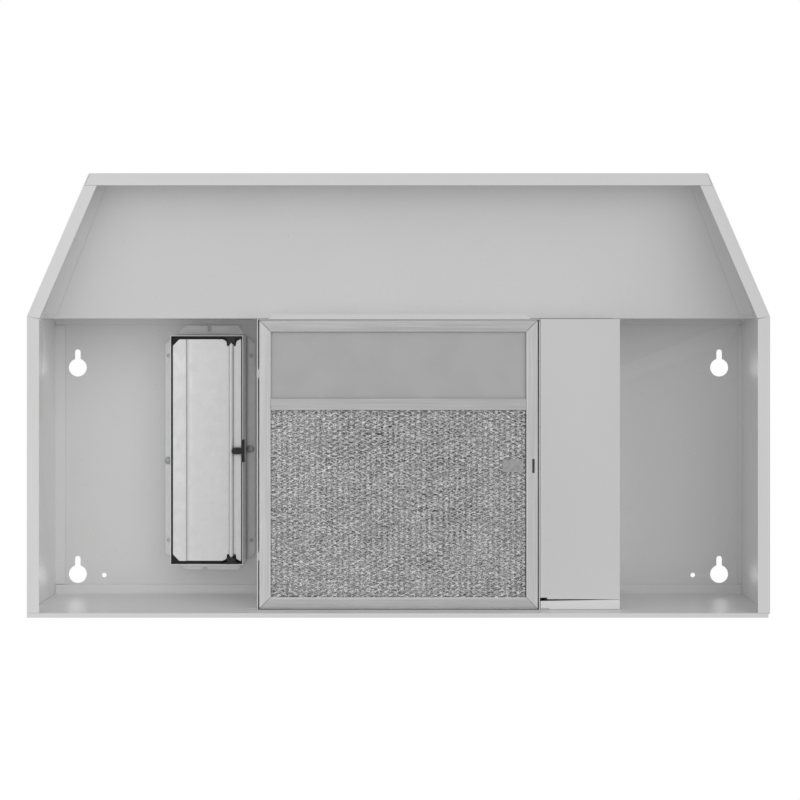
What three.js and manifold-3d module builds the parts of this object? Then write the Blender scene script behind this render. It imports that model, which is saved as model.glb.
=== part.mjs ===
// Under cabinet range hood: painted sheet shell, fan housing, hinged filter with a lamp lens, wiring box with
// two rocker switches, and a rectangular duct connector with a damper flap stored under the top panel.
// Millimetres. X runs left to right, -Y is the front, +Z is up. Pieces are drawn with z = 0 at the bottom rim
// and y = 0 at the rear edge; the last group moves the origin to the middle of the keyhole pattern on top.
import * as THREE from "three";
import { mergeVertices } from "three/addons/utils/BufferGeometryUtils.js";
import Module from "manifold-3d";

const wasm = await Module();
wasm.setup();

// ---------- driving dimensions ----------
const HALF_WIDTH = 381;
const DEPTH = 455.8;
const HEIGHT = 152.4;
const SHEET = 0.9;
const GAP = 0.3;
const RIM = 12.5;
const BAND_Y = -308.9;
const BAND_BOTTOM_Z = 76;
const LIP_TOP_Z = 38;
const FRONT_HALF_WIDTH = 317.5;
const BACK_FACE_Y = -3.7;
const WELD_FLANGE = 14.5;

const KEYHOLE_X = 355;
const KEYHOLE_Y = [-254.75, -26.15];
const KEYHOLE_R = 9.9;
const KEYHOLE_SLOT_R = 3;
const KEYHOLE_SLOT_REACH = 17;

const FILTER_HALF_WIDTH = 144.9;
const FILTER_FRONT_Y = -305.6;
const FILTER_REAR_Y = -5.4;
const FILTER_Z = 25;
const FILTER_THICK = 9.5;
const MEMBER = 12;
const MEMBER_SKIN = 1.2;
const LENS_REAR_Y = -224.1;
const DIVIDER = 12.2;
const CATCH_SLOT = { x: 140.2, y: -154, wide: 2.7, long: 15 };
const FILTER_TABS_Y = [-250, -60];
const BACK_RIM_STEP = 1.7; // the back panel's rim stops this far short of the right side
const RIM_STEP_HEIGHT = 1.5;
const FILTER_TAB_REACH = 2.4; // out of the filter's left edge, through the slots in the housing

const HOUSING_HALF_WIDTH = 146.9;
const HOUSING_FRONT_Y = -306.9;
const HOUSING_FOOT = 9;
const HOUSING_LIP_X = [-131, 133];
const HOUSING_LIP_Y = -311.6;
const HOUSING_TOP_Z = 150;
const PARTITION_Y = -217.3;
const PLATE_Z = 62;
const FAN_Y = -129.4;
const ORIFICE_R = 85;
const FAN_R = 80;
const CAN_R = 42;
const CAN_Z = [82, 118];
const SHAFT_R = 3.95;
const BRACKET_SCREWS = [
  [-139, FAN_Y],
  [139, FAN_Y],
];
const SCREW_HOLE_R = 2.2;

const LAMP_Y = -262;
const LAMP_Z = 92;

const COVER_X = [147.3, 230];
const COVER_Y = [-306.8, -15.6];
const LEDGE_FRONT_Y = [-13.8, -15.2];
const SWITCH_X = [172, 208];
const SWITCH_Z = 112;
const SWITCH_PIVOT_Y = -306;
const ROCKER_TILT = 8;

const DUCT_SHEET = 0.7;
const COLLAR_X = [-247.2, -168.4];
const COLLAR_Y = [-290, -41.5];
const COLLAR_Z = 107;
const DUCT_FLANGE_X = [-258, -159];
const DUCT_FLANGE_Y = [-301.4, -31.1];
const FLAP_AXIS_X = -181.2;
const FLAP_AXIS_Z = 110;
const FLAP_SHEET = 0.6;
const FLAP_STRIP = 14.2; // width of the bent strip along the flap's free edge
const FLAP_STRIP_DROP = [0.3, 2.3]; // how far the strip hangs below the flap, at its edge and at its bend
const DUCT_SCREWS = [
  [-254.6, -152],
  [-163.3, -164.7],
];

// ---------- values worked out from them ----------
const UNDER_TOP = HEIGHT - SHEET;
const FLANGE_TOP_Z = UNDER_TOP - GAP;
const BACK_INNER_Y = BACK_FACE_Y - SHEET;
const SIDE_REAR_Y = BACK_INNER_Y - GAP;
const PATTERN_Y = (KEYHOLE_Y[0] + KEYHOLE_Y[1]) / 2;
const VISOR_SLOPE = (BAND_BOTTOM_Z - LIP_TOP_Z) / (DEPTH + BAND_Y);
const WINDOW_HALF = FILTER_HALF_WIDTH - MEMBER;
const HOUSING_WALL_X = HOUSING_HALF_WIDTH - SHEET;
const HOUSING_ROOM_X = HOUSING_WALL_X - GAP;
const HOUSING_Z = [FILTER_Z - 0.4, HOUSING_TOP_Z];
const SOCKET_X = HOUSING_ROOM_X - 1.5;
const DUCT_X = (DUCT_FLANGE_X[0] + DUCT_FLANGE_X[1]) / 2;
const REACH = 2000; // longer than the hood: cutters run past it

// ---------- solids ----------
function solid(geometry) {
  const bare = geometry.index ? geometry.toNonIndexed() : geometry.clone();
  bare.deleteAttribute("normal");
  bare.deleteAttribute("uv");
  const merged = mergeVertices(bare, 1e-4);
  return new wasm.Manifold(
    new wasm.Mesh({
      numProp: 3,
      vertProperties: merged.attributes.position.array,
      triVerts: new Uint32Array(merged.index.array),
    }),
  );
}

const join = (...solids) => solids.reduce((a, b) => a.add(b));
const cut = (body, ...tools) => tools.reduce((a, b) => a.subtract(b), body);

function block([x0, x1], [y0, y1], [z0, z1]) {
  const box = new THREE.BoxGeometry(x1 - x0, y1 - y0, z1 - z0);
  return solid(box.translate((x0 + x1) / 2, (y0 + y1) / 2, (z0 + z1) / 2));
}

const outline = (points) => new THREE.Shape(points.map(([a, b]) => new THREE.Vector2(a, b)));
const extruded = (shape, depth) =>
  new THREE.ExtrudeGeometry(shape, { depth, bevelEnabled: false, curveSegments: 12 });

// A plan outline in X, Y raised from z0 to z1.
const raised = (shape, [z0, z1]) => solid(extruded(shape, z1 - z0).translate(0, 0, z0));

// A section drawn in Y, Z and run along X.
function alongX(points, [x0, x1]) {
  const turn = new THREE.Matrix4().makeBasis(
    new THREE.Vector3(0, 1, 0),
    new THREE.Vector3(0, 0, 1),
    new THREE.Vector3(1, 0, 0),
  );
  return solid(extruded(outline(points), x1 - x0).applyMatrix4(turn).translate(x0, 0, 0));
}

// A section drawn in X, Z and run along Y.
function alongY(points, [y0, y1]) {
  const turn = new THREE.Matrix4().makeBasis(
    new THREE.Vector3(1, 0, 0),
    new THREE.Vector3(0, 0, 1),
    new THREE.Vector3(0, -1, 0),
  );
  return solid(extruded(outline(points), y1 - y0).applyMatrix4(turn).translate(0, y1, 0));
}

// A turned solid about Z from [radius, height] points.
function turned(points, segments = 40) {
  const profile = points.map(([r, z]) => new THREE.Vector2(r, z));
  const made = solid(new THREE.LatheGeometry(profile, segments).rotateX(Math.PI / 2));
  return made.volume() < 0 ? turned([...points].reverse(), segments) : made;
}

const at = (body, x, y, z) => body.translate([x, y, z]);
const pin = (x, y, [z0, z1], r, segments = 32) =>
  at(turned([[0, z0], [r, z0], [r, z1], [0, z1]], segments), x, y, 0);
const ring = (inner, outer, [z0, z1], segments = 40) =>
  turned([[inner, z0], [outer, z0], [outer, z1], [inner, z1], [inner, z0]], segments);

// A bent sheet's section: the path is one face of it, and the sheet lies on its left.
function sheetSection(path, thick) {
  const other = path.map(([a, b], i) => {
    const before = path[i - 1] ?? [2 * a - path[i + 1][0], 2 * b - path[i + 1][1]];
    const after = path[i + 1] ?? [2 * a - before[0], 2 * b - before[1]];
    const first = new THREE.Vector2(a - before[0], b - before[1]).normalize();
    const second = new THREE.Vector2(after[0] - a, after[1] - b).normalize();
    const middle = new THREE.Vector2().addVectors(first, second).normalize();
    const reach = thick / middle.dot(first);
    return [a - middle.y * reach, b + middle.x * reach];
  });
  return [...path, ...other.reverse()];
}

function arc(centreA, centreB, r, fromDeg, toDeg, steps) {
  return Array.from({ length: steps + 1 }, (_, i) => {
    const angle = THREE.MathUtils.degToRad(fromDeg + ((toDeg - fromDeg) * i) / steps);
    return [centreA + r * Math.cos(angle), centreB + r * Math.sin(angle)];
  });
}

// A lead: a round wire along a smooth route.
function wire(route, r) {
  const curve = new THREE.CatmullRomCurve3(route.map((p) => new THREE.Vector3(...p)));
  const round = new THREE.Shape().absarc(0, 0, r, 0, 2 * Math.PI);
  const options = { steps: 20, extrudePath: curve, bevelEnabled: false, curveSegments: 4 };
  const made = new THREE.ExtrudeGeometry(round, options);
  return solid(made);
}

// ---------- placing pieces ----------
const hood = new THREE.Group();
hood.position.set(0, -PATTERN_Y, -HEIGHT);

const paint = { color: 0xc9c9c9, roughness: 0.45, metalness: 0 };
const galvanized = { color: 0xc8cacc, roughness: 0.38, metalness: 0.85 };
const aluminium = { color: 0xd2d3d4, roughness: 0.3, metalness: 0.9 };
const steel = { color: 0xb4b6b8, roughness: 0.3, metalness: 0.95 };
const blackPlastic = { color: 0x151515, roughness: 0.5, metalness: 0 };
const greyPlastic = { color: 0xd9d9d6, roughness: 0.4, metalness: 0 };

function piece(name, made, finish) {
  const result = made.getMesh();
  const geometry = new THREE.BufferGeometry();
  geometry.setAttribute("position", new THREE.BufferAttribute(result.vertProperties, 3));
  geometry.setIndex(new THREE.BufferAttribute(result.triVerts, 1));
  geometry.computeVertexNormals();
  const mesh = new THREE.Mesh(geometry, new THREE.MeshStandardMaterial(finish));
  mesh.name = name;
  hood.add(mesh);
}

// ---------- shell ----------
function keyhole(x, y) {
  const shape = new THREE.Shape();
  const meet = Math.acos(KEYHOLE_SLOT_R / KEYHOLE_R);
  shape.absarc(x, y, KEYHOLE_R, -meet, Math.PI + meet);
  shape.absarc(x, y - KEYHOLE_SLOT_REACH, KEYHOLE_SLOT_R, Math.PI, 2 * Math.PI);
  return raised(shape, [UNDER_TOP - 1, HEIGHT + 1]);
}

// Knockouts are scored half through the sheet and bridged at four places.
function scoredRound(r, width, depth) {
  const bridges = [
    block([-REACH, REACH], [-3, 3], [-depth, 1]),
    block([-3, 3], [-REACH, REACH], [-depth, 1]),
  ];
  return cut(ring(r - width, r, [-depth, 1], 48), ...bridges);
}

function scoredRectangle(halfX, halfY, width, depth) {
  const outer = block([-halfX, halfX], [-halfY, halfY], [-depth, 1]);
  const inner = block([width - halfX, halfX - width], [width - halfY, halfY - width], [-depth - 1, 2]);
  const bridges = [
    block([-3, 3], [-REACH, REACH], [-depth, 1]),
    block([-REACH, REACH], [-3, 3], [-depth, 1]),
  ];
  return cut(outer, inner, ...bridges);
}

function topPanel() {
  const holes = [-1, 1].flatMap((side) => [
    ...KEYHOLE_Y.map((y) => keyhole(side * KEYHOLE_X, y)),
    pin(side * 325.8, -25, [UNDER_TOP - 1, HEIGHT + 1], 2.5, 20),
    pin(side * 379.6, BAND_Y + 1.6, [UNDER_TOP - 1, HEIGHT + 1], 1, 12),
  ]);
  const screws = DUCT_SCREWS.map(([x, y]) => pin(x, y, [UNDER_TOP - 1, HEIGHT + 1], SCREW_HOLE_R, 16));
  const scores = [
    at(scoredRound(88.9, 0.8, 0.4), 0, FAN_Y, HEIGHT),
    at(scoredRectangle(127, 41.3, 0.8, 0.4), 0, -62, HEIGHT),
    at(scoredRound(11.1, 0.8, 0.4), 190, -60, HEIGHT),
  ];
  const sheet = block([-HALF_WIDTH, HALF_WIDTH], [BAND_Y, BACK_FACE_Y], [UNDER_TOP, HEIGHT]);
  return cut(sheet, ...holes, ...screws, ...scores);
}

// The line of the mitred corner's outer face, moved inwards by a distance.
function mitreLine(inset) {
  const along = new THREE.Vector2(FRONT_HALF_WIDTH - HALF_WIDTH, -DEPTH - BAND_Y).normalize();
  const inward = new THREE.Vector2(along.y, -along.x).multiplyScalar(inset);
  return (y) => HALF_WIDTH + inward.x + ((y - BAND_Y - inward.y) * along.x) / along.y;
}

function frontCanopy() {
  const path = [
    [BAND_Y + 6, FLANGE_TOP_Z],
    [BAND_Y, FLANGE_TOP_Z],
    [BAND_Y, BAND_BOTTOM_Z],
    [-DEPTH, LIP_TOP_Z],
    [-DEPTH, 0],
    [-DEPTH + RIM, 0],
  ];
  const sheet = alongX(sheetSection(path, SHEET), [-HALF_WIDTH, HALF_WIDTH]);
  const inner = mitreLine(SHEET + GAP);
  const outer = mitreLine(0);
  const side = HALF_WIDTH - SHEET - GAP;
  const corner = -DEPTH + SHEET + GAP;
  const half = [
    [side, BAND_Y + 10],
    [side, BAND_Y],
    [inner(BAND_Y - 0.5), BAND_Y - 0.5],
    [inner(corner), corner],
    [outer(corner), corner],
    [outer(-DEPTH) - 0.6, -DEPTH],
  ];
  const plan = outline([...half, ...half.map(([x, y]) => [-x, y]).reverse()]);
  const body = sheet.intersect(raised(plan, [-1, HEIGHT]));
  const openings = SWITCH_X.map((x) => block([x - 14, x + 14], [BAND_Y - 1, BAND_Y + 2], [105.6, 118.4]));
  return cut(body, ...openings);
}

function sidePanel(side, topFlange) {
  const plan = (points) => outline(points.map(([x, y]) => [side * x, y]));
  const inner = mitreLine(SHEET);
  const rimEdge = mitreLine(RIM);
  const weldEdge = mitreLine(WELD_FLANGE);
  const outer = mitreLine(0);
  const frontEnd = -DEPTH + SHEET + GAP;
  const wallX = HALF_WIDTH - SHEET;
  const wall = raised(
    plan([[wallX, SIDE_REAR_Y], [HALF_WIDTH, SIDE_REAR_Y], [HALF_WIDTH, BAND_Y], [wallX, BAND_Y]]),
    [0, FLANGE_TOP_Z],
  );
  const flange = raised(
    plan([
      [HALF_WIDTH - topFlange, BACK_INNER_Y - 11],
      [HALF_WIDTH, BACK_INNER_Y - 11],
      [HALF_WIDTH, BAND_Y + 8],
      [HALF_WIDTH - topFlange, BAND_Y + 8],
    ]),
    [FLANGE_TOP_Z - SHEET, FLANGE_TOP_Z],
  );
  const rim = raised(
    plan([
      [HALF_WIDTH - RIM, SIDE_REAR_Y],
      [HALF_WIDTH, SIDE_REAR_Y],
      [HALF_WIDTH, BAND_Y],
      [outer(frontEnd), frontEnd],
      [inner(frontEnd), frontEnd],
      [inner(-DEPTH + RIM + GAP), -DEPTH + RIM + GAP],
      [rimEdge(-DEPTH + RIM + GAP), -DEPTH + RIM + GAP],
      [HALF_WIDTH - RIM, BAND_Y + 2.6],
    ]),
    [0, SHEET],
  );
  const notch = raised(
    plan([
      [HALF_WIDTH - SHEET, BAND_Y],
      [HALF_WIDTH - RIM - 4, BAND_Y + 4],
      [HALF_WIDTH - RIM - 4, BAND_Y + 2.4],
    ]),
    [-1, SHEET + 1],
  );
  const mitreStrip = plan([
    [HALF_WIDTH, BAND_Y],
    [outer(frontEnd), frontEnd],
    [inner(frontEnd), frontEnd],
    [inner(BAND_Y), BAND_Y],
  ]);
  const underVisor = [
    [BAND_Y + 1, 0],
    [BAND_Y + 1, BAND_BOTTOM_Z + VISOR_SLOPE],
    [-DEPTH, LIP_TOP_Z],
    [-DEPTH, 0],
  ];
  const mitre = raised(mitreStrip, [0, HEIGHT]).intersect(alongX(underVisor, [-REACH, REACH]));
  const weldTop = SHEET + GAP + 0.1;
  const weldSheet = [
    [BAND_Y, BAND_BOTTOM_Z - weldTop],
    [-DEPTH, LIP_TOP_Z - weldTop],
    [-DEPTH, LIP_TOP_Z - weldTop - SHEET],
    [BAND_Y, BAND_BOTTOM_Z - weldTop - SHEET],
  ];
  const weldStrip = plan([
    [outer(BAND_Y - 3) - 0.2, BAND_Y - 3],
    [outer(frontEnd) - 0.2, frontEnd],
    [weldEdge(frontEnd), frontEnd],
    [weldEdge(BAND_Y - 3), BAND_Y - 3],
  ]);
  const weld = raised(weldStrip, [0, HEIGHT]).intersect(alongX(weldSheet, [-REACH, REACH]));
  return join(wall, flange, cut(rim, notch), mitre, weld);
}

function backPanel() {
  const bend = 3.5;
  const flangeZ = FLANGE_TOP_Z - SHEET;
  const path = [
    [BACK_INNER_Y - 10, flangeZ],
    ...arc(BACK_INNER_Y - bend, flangeZ - bend, bend, 90, 0, 6),
    [BACK_INNER_Y, 0],
    [0, 0],
  ];
  const sheet = alongX(sheetSection(path, SHEET), [-HALF_WIDTH, HALF_WIDTH]);
  const rimStep = block([HALF_WIDTH - BACK_RIM_STEP, HALF_WIDTH + 1], [-DEPTH, 1], [-1, RIM_STEP_HEIGHT]);
  const scores = [
    at(scoredRectangle(127, 41.3, 0.8, 0.4).rotate([-90, 0, 0]), 0, BACK_FACE_Y, 96),
    at(scoredRound(11.1, 0.8, 0.4).rotate([-90, 0, 0]), 190, BACK_FACE_Y, 110),
  ];
  const sideX = HALF_WIDTH - SHEET - GAP;
  const corners = [[-HALF_WIDTH - 1, -sideX], [sideX, HALF_WIDTH + 1]].map((xs) =>
    block(xs, [BACK_INNER_Y - 20, BACK_INNER_Y], [-1, HEIGHT]),
  );
  return cut(sheet, ...scores, ...corners, rimStep);
}

// ---------- fan housing ----------
function fanHousing() {
  const zs = HOUSING_Z;
  const wallX = HOUSING_WALL_X;
  const ordered = (a, b) => [Math.min(a, b), Math.max(a, b)];
  const sides = [-1, 1].map((side) => {
    const wall = ordered(side * wallX, side * HOUSING_HALF_WIDTH);
    const foot = ordered(side * wallX, side * (HOUSING_HALF_WIDTH + HOUSING_FOOT));
    return join(
      block(wall, [HOUSING_FRONT_Y, SIDE_REAR_Y], zs),
      block(foot, [SIDE_REAR_Y - SHEET, SIDE_REAR_Y], [zs[0], zs[1] - 6]),
    );
  });
  const frontSpan = [HOUSING_FRONT_Y, HOUSING_FRONT_Y + SHEET];
  const front = block([-HOUSING_HALF_WIDTH, HOUSING_HALF_WIDTH], frontSpan, zs);
  const lip = raised(
    outline([
      [HOUSING_LIP_X[0], HOUSING_LIP_Y],
      [HOUSING_LIP_X[1], HOUSING_LIP_Y],
      [HOUSING_LIP_X[1] + 4, HOUSING_FRONT_Y + 0.5],
      [HOUSING_LIP_X[0] - 4, HOUSING_FRONT_Y + 0.5],
    ]),
    [zs[0], zs[0] + SHEET],
  );
  const cornerNotches = [-1, 1].map((side) =>
    block(
      ordered(side * (HOUSING_WALL_X - 2.2), side * (HOUSING_HALF_WIDTH + 1)),
      [HOUSING_FRONT_Y - 1, HOUSING_FRONT_Y + SHEET + 2.2],
      [zs[0] - 1, zs[0] + 2.4],
    ),
  );
  const tabSlots = FILTER_TABS_Y.map((y) =>
    block([-HOUSING_HALF_WIDTH - 1, 1 - wallX], [y - 6, y + 6], [FILTER_Z + 0.6, FILTER_Z + 6.4]),
  );
  const leadHoles = [[-190, 105, 8.3], [LAMP_Y, LAMP_Z, 6]].map(([y, z, r]) =>
    at(pin(0, 0, [wallX - 5, HOUSING_HALF_WIDTH + 5], r, 24).rotate([0, 90, 0]), 0, y, z),
  );
  const bendRelief = block([-REACH, REACH], [-10, 0], [HOUSING_TOP_Z - 4.5, HEIGHT]);
  return cut(join(...sides, front, lip), ...cornerNotches, ...tabSlots, ...leadHoles, bendRelief);
}

function lampPartition() {
  const zs = [FILTER_Z + FILTER_THICK + 1, HOUSING_TOP_Z];
  return block([-HOUSING_ROOM_X, HOUSING_ROOM_X], [PARTITION_Y - SHEET, PARTITION_Y], zs);
}

function fanShroud() {
  const plateY = [PARTITION_Y + GAP, SIDE_REAR_Y - SHEET - GAP];
  const plate = block([-HOUSING_ROOM_X, HOUSING_ROOM_X], plateY, [PLATE_Z, PLATE_Z + SHEET]);
  const throat = [
    [ORIFICE_R, PLATE_Z + 14],
    [ORIFICE_R, PLATE_Z + 4],
    ...arc(ORIFICE_R + 4, PLATE_Z + 4, 4, 180, 270, 4).slice(1),
    [ORIFICE_R + 5, PLATE_Z],
    [ORIFICE_R + 5, PLATE_Z + SHEET],
    ...arc(ORIFICE_R + 4, PLATE_Z + 4, 4 - SHEET, 270, 180, 4),
    [ORIFICE_R + SHEET, PLATE_Z + 14],
    [ORIFICE_R, PLATE_Z + 14],
  ];
  const hole = pin(0, FAN_Y, [PLATE_Z - 1, PLATE_Z + 2], ORIFICE_R + 4, 64);
  const frontTrim = block([-REACH, REACH], [-REACH, PARTITION_Y + GAP], [0, HEIGHT]);
  const screws = BRACKET_SCREWS.map(([x, y]) => pin(x, y, [PLATE_Z - 1, PLATE_Z + 2], SCREW_HOLE_R, 16));
  return cut(join(cut(plate, hole), at(turned(throat, 64), 0, FAN_Y, 0)), frontTrim, ...screws);
}

// ---------- motor and fan ----------

function motorBracket() {
  const halfX = HOUSING_ROOM_X;
  const strapZ = CAN_Z[1] + 1.8;
  const footZ = PLATE_Z + SHEET + GAP;
  const path = [
    [halfX - 14, footZ],
    [halfX, footZ],
    [halfX, strapZ + 1.5],
    [-halfX, strapZ + 1.5],
    [-halfX, footZ],
    [14 - halfX, footZ],
  ];
  const strap = alongY(sheetSection(path, 1.5), [FAN_Y - 15, FAN_Y + 15]);
  const holes = BRACKET_SCREWS.map(([x, y]) => pin(x, y, [footZ - 1, footZ + 3], SCREW_HOLE_R, 16));
  return cut(strap, pin(0, FAN_Y, [strapZ - 1, strapZ + 3], 11, 32), ...holes);
}

function motorCan() {
  const [z0, z1] = CAN_Z;
  const section = [
    [11, z0],
    [CAN_R - 4, z0],
    ...arc(CAN_R - 4, z0 + 4, 4, 270, 360, 4).slice(1),
    [CAN_R, z1],
    [CAN_R - 1, z1],
    [CAN_R - 1, z0 + 4],
    [CAN_R - 4, z0 + 1],
    [11, z0 + 1],
    [11, z0],
  ];
  const vents = [0, 60, 120].map((deg) =>
    block([-REACH, REACH], [-5, 5], [z1 - 14, z1 - 8]).rotate([0, 0, deg]),
  );
  return at(cut(turned(section), ...vents), 0, FAN_Y, 0);
}

function fanBlade() {
  const wing = new THREE.Shape();
  wing.moveTo(18, -9);
  wing.quadraticCurveTo(50, -26, FAN_R - 5, -24);
  wing.quadraticCurveTo(FAN_R + 1, 0, FAN_R - 6, 22);
  wing.quadraticCurveTo(50, 24, 18, 9);
  const flat = raised(wing, [-0.5, 0.5]);
  const wings = [0, 72, 144, 216, 288].map((deg) => flat.rotate([24, 0, 0]).rotate([0, 0, deg]));
  const disc = cut(pin(0, 0, [-0.6, 0.6], 26, 40), pin(0, 0, [-9, 9], 8.4, 32));
  return at(cut(join(disc, ...wings), pin(0, 0, [-20, 20], 8.4, 32)), 0, FAN_Y, 69.6);
}

function fanHub() {
  const section = [[4.3, 58.5], [8, 58.5], [8, 70.6], [14, 70.6], [14, 73], [9, 77], [4.3, 77], [4.3, 58.5]];
  return at(turned(section, 32), 0, FAN_Y, 0);
}

// A hexagonal nut on the shaft's end.
const bladeNut = () => cut(pin(0, FAN_Y, [52, 58], 7.5, 6), pin(0, FAN_Y, [51, 59], 4.3, 24));

// ---------- lamp ----------
const sideways = (body, x, y, z) => at(body.rotate([0, -90, 0]), x, y, z);

function lampSocket() {
  const section = [[0, 0], [17, 0], [17, 12], [15.4, 15], [15.4, 38], [13.6, 38], [13.6, 13], [0, 13]];
  return sideways(turned(section, 32), SOCKET_X, LAMP_Y, LAMP_Z);
}

function bulbBase() {
  const rings = [0, 1, 2, 3].flatMap((i) => [[12.9, 16 + i * 5], [12.2, 18.5 + i * 5]]);
  const section = [[0, 13.4], [4, 13.4], [9, 15], ...rings, [12.9, 37], [12.9, 42], [0, 42]];
  return sideways(turned(section, 32), SOCKET_X, LAMP_Y, LAMP_Z);
}

function bulbGlass() {
  const section = [[0, 42.3], [12.6, 42.3], [14, 52], [21, 66], ...arc(0, 84, 29.5, -20, 90, 8)];
  return sideways(turned(section, 32), SOCKET_X, LAMP_Y, LAMP_Z);
}

function lampReflector() {
  const path = [[-223, 66], [-227, 130], [-297, 130], [-301, 66]];
  return alongX(sheetSection(path, 0.6), [-143, 102]);
}

function socketBracket() {
  const plate = block([SOCKET_X + GAP, HOUSING_ROOM_X], [LAMP_Y - 20, LAMP_Y + 20], [70, 114]);
  return cut(plate, sideways(pin(0, 0, [-5, 5], 4, 20), SOCKET_X, LAMP_Y, LAMP_Z));
}

// ---------- filter ----------

function filterFrame() {
  const zs = [FILTER_Z, FILTER_Z + FILTER_THICK];
  const skin = [FILTER_Z + 0.8, FILTER_Z + FILTER_THICK - 0.8];
  const xs = [-FILTER_HALF_WIDTH, FILTER_HALF_WIDTH];
  const grooveX = [MEMBER_SKIN - FILTER_HALF_WIDTH, FILTER_HALF_WIDTH - MEMBER_SKIN];
  const body = cut(
    block(xs, [FILTER_FRONT_Y, FILTER_REAR_Y], zs),
    block(grooveX, [FILTER_FRONT_Y + MEMBER_SKIN, FILTER_REAR_Y - MEMBER_SKIN], skin),
    block([-WINDOW_HALF, WINDOW_HALF], [FILTER_FRONT_Y + MEMBER, FILTER_REAR_Y - MEMBER], [0, HEIGHT]),
  );
  const { x, y, wide, long } = CATCH_SLOT;
  const slotShape = new THREE.Shape();
  slotShape.absarc(x, y + (long - wide) / 2, wide / 2, 0, Math.PI);
  slotShape.absarc(x, y - (long - wide) / 2, wide / 2, Math.PI, 2 * Math.PI);
  const tabs = FILTER_TABS_Y.map((tabY) =>
    block(
      [-FILTER_HALF_WIDTH - FILTER_TAB_REACH, -FILTER_HALF_WIDTH + 0.5],
      [tabY - 4, tabY + 4],
      [FILTER_Z + 1.6, FILTER_Z + 2.6],
    ),
  );
  return join(cut(body, raised(slotShape, [0, HEIGHT])), ...tabs);
}

function filterMesh() {
  const halfX = WINDOW_HALF + 4;
  const zs = [FILTER_Z + 1.3, FILTER_Z + FILTER_THICK - 1.3];
  return block([-halfX, halfX], [LENS_REAR_Y + DIVIDER / 2 + 1.2, FILTER_REAR_Y - 6], zs);
}

function lightLens() {
  const halfX = WINDOW_HALF + 4;
  const zs = [FILTER_Z + 3, FILTER_Z + 5.4];
  return block([-halfX, halfX], [FILTER_FRONT_Y + 5, LENS_REAR_Y + DIVIDER / 2 - 1.2], zs);
}

// The divider is an H section: the lens slides into its front slot and the mesh into its rear one.
function filterDivider() {
  const ys = [LENS_REAR_Y, LENS_REAR_Y + DIVIDER];
  const middle = LENS_REAR_Y + DIVIDER / 2;
  const halfX = WINDOW_HALF - GAP;
  const zs = [FILTER_Z + 0.2, FILTER_Z + FILTER_THICK - 0.2];
  const slot = [FILTER_Z + 1, FILTER_Z + FILTER_THICK - 1];
  return cut(
    block([-halfX, halfX], ys, zs),
    block([-REACH, REACH], [ys[0] - 1, middle - 0.6], slot),
    block([-REACH, REACH], [middle + 0.6, ys[1] + 1], slot),
  );
}

function filterCatch() {
  const tongueX = CATCH_SLOT.x + 0.4;
  const path = [[tongueX, FILTER_Z + 5], [tongueX, 41], [HOUSING_ROOM_X, 46], [HOUSING_ROOM_X, 58]];
  return alongY(sheetSection(path, 0.8), [CATCH_SLOT.y - 6, CATCH_SLOT.y + 6]);
}

// ---------- wiring box and switches ----------
function wiringCover() {
  const [x0, x1] = COVER_X;
  const [y0, y1] = COVER_Y;
  const z0 = HOUSING_Z[0];
  const top = HOUSING_TOP_Z - 0.5;
  const inside = block([x0 - 1, x1 - SHEET], [y0 + SHEET, y1 - SHEET], [z0 + SHEET, top + 1]);
  const behindSwitches = block([x0 - 1, x1 - SHEET], [y0 - 1, y0 + SHEET + 1], [92, top + 1]);
  const besideFoot = block([x0 - 1, x0 + 9.5], [y1 - SHEET - 1, y1 + 1], [z0 + SHEET, top + 1]);
  const notch = block([x0 - 1, x0 + 7], [y1 - 1.6, y1 + 1], [z0 - 1, z0 + SHEET + 1]);
  return cut(block(COVER_X, COVER_Y, [z0, top]), inside, behindSwitches, besideFoot, notch);
}

// A bent strip on the back panel that closes the box behind the cover; its front edge runs slightly askew.
function wiringLedge() {
  const [x0, x1] = [COVER_X[0] + 0.2, COVER_X[1]];
  const footEnd = HOUSING_HALF_WIDTH + HOUSING_FOOT + GAP;
  const clearOfFoot = SIDE_REAR_Y - SHEET - GAP;
  const z0 = HOUSING_Z[0];
  const plan = [
    [x0, LEDGE_FRONT_Y[0]],
    [x1, LEDGE_FRONT_Y[1]],
    [x1, SIDE_REAR_Y],
    [footEnd, SIDE_REAR_Y],
    [footEnd, clearOfFoot],
    [x0, clearOfFoot],
  ];
  const web = block([footEnd, x1], [SIDE_REAR_Y - SHEET, SIDE_REAR_Y], [z0, z0 + 28]);
  return join(raised(outline(plan), [z0, z0 + SHEET]), web);
}

function switchBody(x) {
  const z = SWITCH_Z;
  const body = join(
    block([x - 14, x + 14], [-307.7, -283.4], [z - 6.4, z + 6.4]),
    block([x - 13.6, x + 13.6], [-309.5, -307.5], [z - 6.1, z + 6.1]),
    block([x - 16, x + 16], [-310.7, -309.2], [z - 8, z + 8]),
  );
  return cut(body, block([x - 12.4, x + 12.4], [-320, -299], [z - 4.6, z + 4.6]));
}

// A rocker's top is dished, with its pivot on a Z axis behind the band.
function rocker(x, tilt) {
  const shape = new THREE.Shape();
  shape.moveTo(-10.9, -6.2);
  shape.quadraticCurveTo(0, -3.4, 10.9, -6.2);
  shape.lineTo(10.9, -0.5);
  shape.lineTo(4, 2.6);
  shape.lineTo(-4, 2.6);
  shape.lineTo(-10.9, -0.5);
  const made = raised(shape, [SWITCH_Z - 4.1, SWITCH_Z + 4.1]);
  return at(made.rotate([0, 0, tilt]), x, SWITCH_PIVOT_Y, 0);
}

function wireConnector(x, y, z) {
  return at(turned([[0, 0], [6.5, 0], [6.2, 8], [4, 22], [0, 22]], 16), x, y, z);
}

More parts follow.
